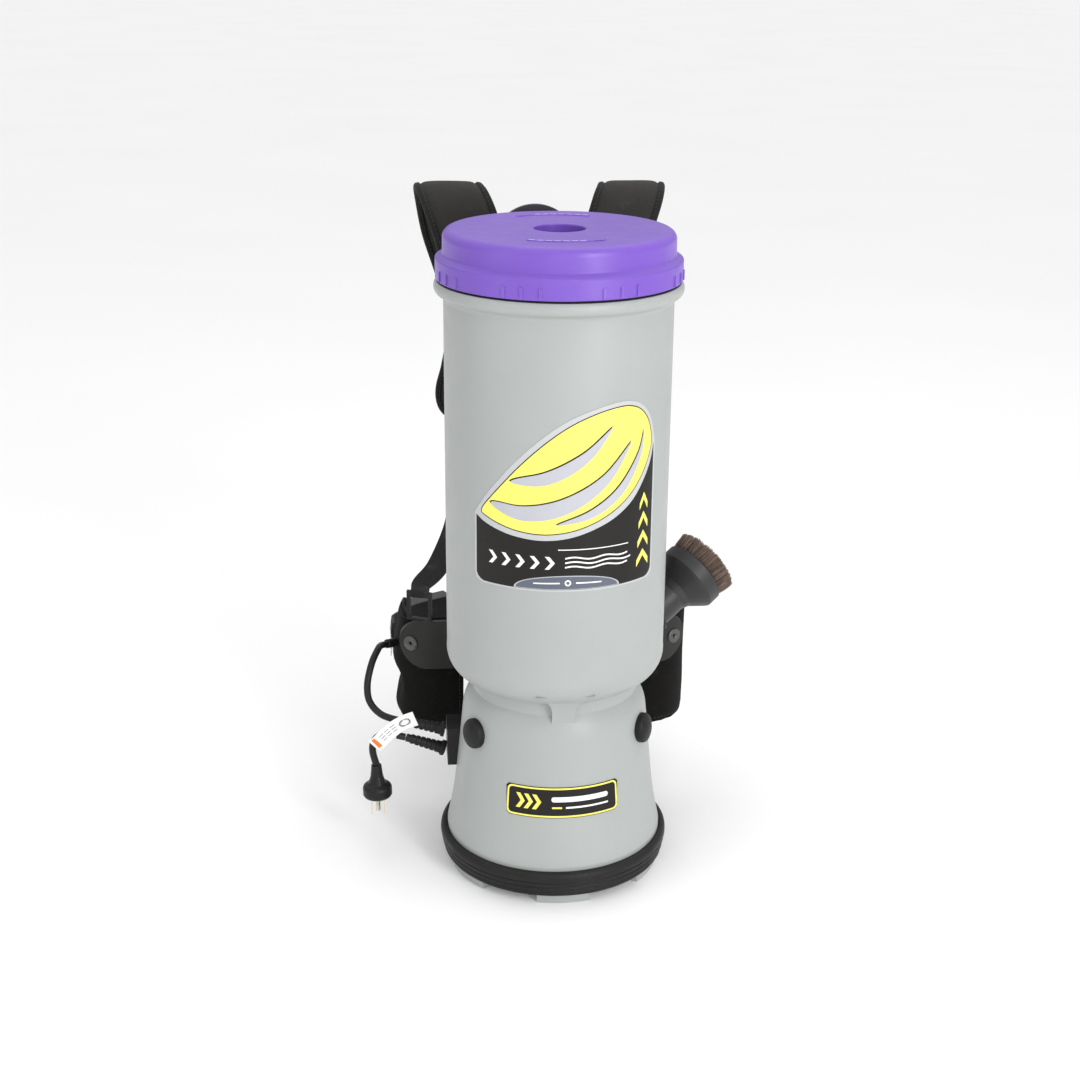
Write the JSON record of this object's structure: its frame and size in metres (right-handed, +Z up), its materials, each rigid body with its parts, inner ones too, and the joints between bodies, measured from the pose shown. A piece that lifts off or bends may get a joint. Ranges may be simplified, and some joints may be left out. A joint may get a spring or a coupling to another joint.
{
  "type": "backpack vacuum cleaner",
  "caption": "Upright round backpack vacuum with a twist-off top lid, bell motor base, padded harness, hip belt, corded plug and clipped dusting brush.",
  "frame": {"origin": "on the tank axis at floor level, in the plane of the feet", "axes": "+Z up along the tank axis, -Y out of the labelled front, +Y towards the wearer, +X to the right seen from the front"},
  "size_m": [0.3942, 0.431, 0.6648],
  "materials": {
    "shell_grey": "satin grey moulded plastic with a fine leather grain",
    "lid_purple": "satin violet moulded plastic",
    "black_rubber": "matt black rubber",
    "label_print": "printed vinyl label, yellow and black",
    "screw_steel": "zinc plated screws",
    "filter_cloth": "white felted filter cloth",
    "filter_ring_plastic": "black filter ring",
    "bag_paper": "filter paper",
    "collar_board": "grey board with a rubber lip",
    "sheet_steel": "zinc plated pressed steel",
    "cast_alloy": "die cast aluminium",
    "shaft_steel": "ground steel",
    "core_steel": "stacked laminations",
    "copper_coil": "enamelled copper",
    "carbon": "graphite",
    "brass_holder": "brass",
    "foam": "open cell foam",
    "harness_plastic": "dark grey nylon",
    "pad_fabric": "black woven cloth over foam",
    "webbing": "black ribbed webbing",
    "rivet_metal": "dull plated steel",
    "cord_jacket": "black cable jacket",
    "pin_brass": "plated brass",
    "tag_paper": "white card tag",
    "switch_plastic": "black moulded case",
    "rocker_red": "red rocker",
    "brush_plastic": "black moulded brush",
    "horsehair": "brown horsehair"
  },
  "bodies": {
    "vacuum": {"tank_shell": "shell_grey", "base_cover": "shell_grey", "bumper_ring": "black_rubber", "rubber_knobs": "black_rubber", "inlet_gasket": "black_rubber", "motor_mount_ring": "black_rubber", "strain_reliefs": "black_rubber", "front_label": "label_print", "rating_plate": "label_print", "base_screws": "screw_steel", "harness_screws": "screw_steel", "cloth_filter": "filter_cloth", "dome_filter": "filter_cloth", "cloth_filter_ring": "filter_ring_plastic", "filter_bag": "bag_paper", "bag_collar": "collar_board", "fan_housing": "sheet_steel", "diffuser": "sheet_steel", "motor_frame": "cast_alloy", "motor_end_plate": "cast_alloy", "motor_bearings": "shaft_steel", "stator": "core_steel", "stator_windings": "copper_coil", "carbon_brushes": "carbon", "brush_holders": "brass_holder", "sound_sleeve": "foam", "exhaust_filter": "foam", "backplate": "harness_plastic", "tank_brackets": "harness_plastic", "hip_wings": "harness_plastic", "strap_hardware": "harness_plastic", "tool_holder": "harness_plastic", "back_pad": "pad_fabric", "lumbar_pad": "pad_fabric", "shoulder_straps": "pad_fabric", "adjust_webbing": "webbing", "wing_rivets": "rivet_metal", "switch_cord": "cord_jacket", "power_cord": "cord_jacket", "cord_gland_block": "cord_jacket", "plug_body": "cord_jacket", "plug_pins": "pin_brass", "cord_tag": "tag_paper"},
    "lid_carrier": {"lid_gasket": "black_rubber"},
    "lid_body": {"lid": "lid_purple"},
    "motor_rotor": {"rotor_shaft": "shaft_steel", "impellers": "cast_alloy", "impeller_nut": "shaft_steel", "armature": "core_steel", "commutator": "copper_coil"},
    "waist_left": {"waist_pad_left": "pad_fabric", "waist_webbing_left": "webbing", "buckle_socket": "harness_plastic", "switch_box": "switch_plastic"},
    "waist_right": {"waist_pad_right": "pad_fabric", "waist_webbing_right": "webbing", "buckle_tongue": "harness_plastic"},
    "rocker": {"switch_rocker": "rocker_red"},
    "dust_brush": {"brush_body": "brush_plastic", "brush_bristles": "horsehair"}
  },
  "joints": [
    {"name": "lid_lift", "type": "slide", "parent": "vacuum", "child": "lid_carrier", "axis": [0, 0, 1], "range_m": [0, 0.01]},
    {"name": "lid_twist", "type": "hinge", "parent": "lid_carrier", "child": "lid_body", "pos_m": [0, 0, 0.62], "axis": [0, 0, 1], "range_deg": [0, 45]},
    {"name": "rotor_spin", "type": "hinge", "parent": "vacuum", "child": "motor_rotor", "pos_m": [0, 0, 0.1], "axis": [0, 0, 1], "continuous": true},
    {"name": "waist_left_rock", "type": "hinge", "parent": "vacuum", "child": "waist_left", "pos_m": [-0.1415, 0.12323, 0.1855], "axis": [-0.5312, -0.8472, 0], "range_deg": [-6, 6]},
    {"name": "waist_right_rock", "type": "hinge", "parent": "vacuum", "child": "waist_right", "pos_m": [0.1415, 0.12323, 0.1855], "axis": [0.5312, -0.8472, 0], "range_deg": [-6, 6]},
    {"name": "switch_rock", "type": "hinge", "parent": "waist_left", "child": "rocker", "pos_m": [-0.12076, 0.29643, 0.15], "axis": [0, 0, -1], "range_deg": [0, 14]},
    {"name": "brush_slide", "type": "slide", "parent": "vacuum", "child": "dust_brush", "axis": [0.7499, 0.4, 0.5269], "range_m": [0, 0.04]}
  ],
  "couplings": [
    {"joint": "lid_lift", "follows": "lid_twist", "m_per_rad": 0.0127}
  ]
}
